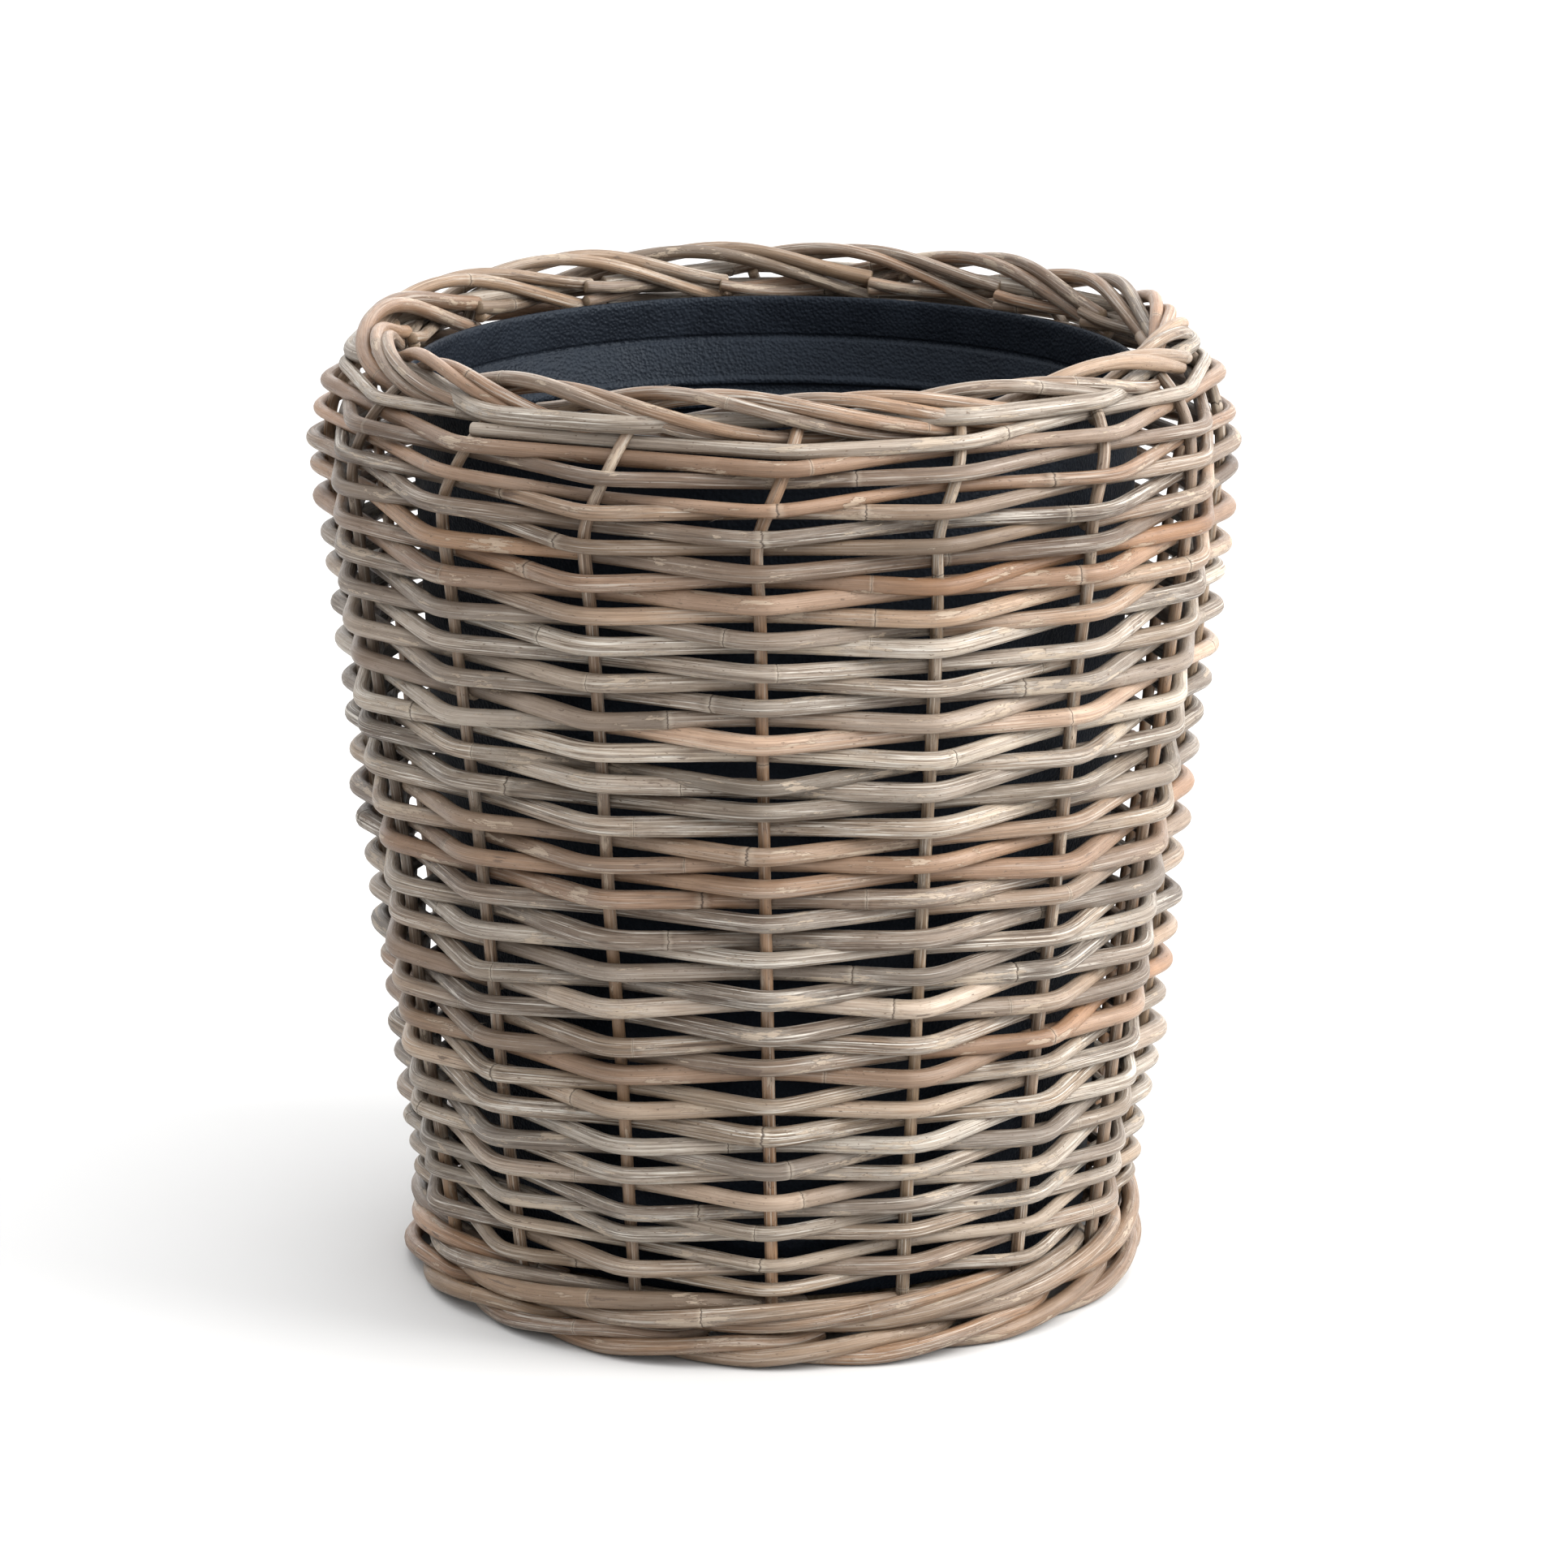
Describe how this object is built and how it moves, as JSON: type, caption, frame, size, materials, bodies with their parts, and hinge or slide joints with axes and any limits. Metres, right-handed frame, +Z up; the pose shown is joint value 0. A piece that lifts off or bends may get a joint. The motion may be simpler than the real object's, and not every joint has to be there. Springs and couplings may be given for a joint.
{
  "type": "log basket",
  "caption": "tall round woven rattan log basket with a tapered wall, rounded shoulder, rope-like top and foot borders, and a dark plastic liner that lifts out",
  "frame": {"origin": "on the ground, under the centre of the basket", "axes": "+Z up along the basket's axis; +X and +Y run through stakes and are otherwise equivalent"},
  "size_m": [0.4907, 0.4906, 0.5163],
  "materials": {
    "stake_rattan": "unvarnished kubu rattan rod, washed grey over brown, satin with dark nodes and fine grain",
    "weaver_rattan": "unvarnished kubu rattan rod, washed grey over brown, satin with dark nodes and fine grain",
    "rim_rattan": "unvarnished kubu rattan rod, washed grey over brown, satin with dark nodes and fine grain",
    "foot_rattan": "unvarnished kubu rattan rod, washed grey over brown, satin with dark nodes and fine grain",
    "base_rattan": "unvarnished kubu rattan rod, washed grey over brown, satin with dark nodes and fine grain",
    "liner_plastic": "moulded near-black plastic with a pebbled grain and a low sheen"
  },
  "bodies": {
    "basket": {"base_sticks": "base_rattan", "base_weave_inner": "base_rattan", "base_weave_middle": "base_rattan", "base_weave_outer": "base_rattan", "foot_border_rods_1": "foot_rattan", "foot_border_rods_2": "foot_rattan", "foot_border_rods_3": "foot_rattan", "foot_border_rods_4": "foot_rattan", "rim_border_rods_1": "rim_rattan", "rim_border_rods_2": "rim_rattan", "rim_border_rods_3": "rim_rattan", "rim_border_rods_4": "rim_rattan", "stake_01": "stake_rattan", "stake_02": "stake_rattan", "stake_03": "stake_rattan", "stake_04": "stake_rattan", "stake_05": "stake_rattan", "stake_06": "stake_rattan", "stake_07": "stake_rattan", "stake_08": "stake_rattan", "stake_09": "stake_rattan", "stake_10": "stake_rattan", "stake_11": "stake_rattan", "stake_12": "stake_rattan", "stake_13": "stake_rattan", "stake_14": "stake_rattan", "stake_15": "stake_rattan", "stake_16": "stake_rattan", "top_wale": "weaver_rattan", "weave_rows_01_02": "weaver_rattan", "weave_rows_03_04": "weaver_rattan", "weave_rows_05_06": "weaver_rattan", "weave_rows_07_08": "weaver_rattan", "weave_rows_09_10": "weaver_rattan", "weave_rows_11_12": "weaver_rattan", "weave_rows_13_14": "weaver_rattan", "weave_rows_15_16": "weaver_rattan", "weave_rows_17_18": "weaver_rattan", "weave_rows_19_20": "weaver_rattan", "weave_rows_21_22": "weaver_rattan", "weave_rows_23_24": "weaver_rattan", "weave_rows_25_26": "weaver_rattan", "weave_rows_27_28": "weaver_rattan", "weave_rows_29_30": "weaver_rattan", "weave_rows_31_32": "weaver_rattan", "weave_rows_33_34": "weaver_rattan", "weave_rows_35_36": "weaver_rattan", "weave_rows_37_38": "weaver_rattan", "weave_rows_39_40": "weaver_rattan", "weave_rows_41_42": "weaver_rattan", "weave_rows_43_44": "weaver_rattan", "weave_rows_45_46": "weaver_rattan", "weave_rows_47_48": "weaver_rattan"},
    "liner": {"liner": "liner_plastic"}
  },
  "joints": [
    {"name": "liner_lift", "type": "slide", "parent": "basket", "child": "liner", "axis": [0, 0, 1], "range_m": [0, 0.5]}
  ]
}
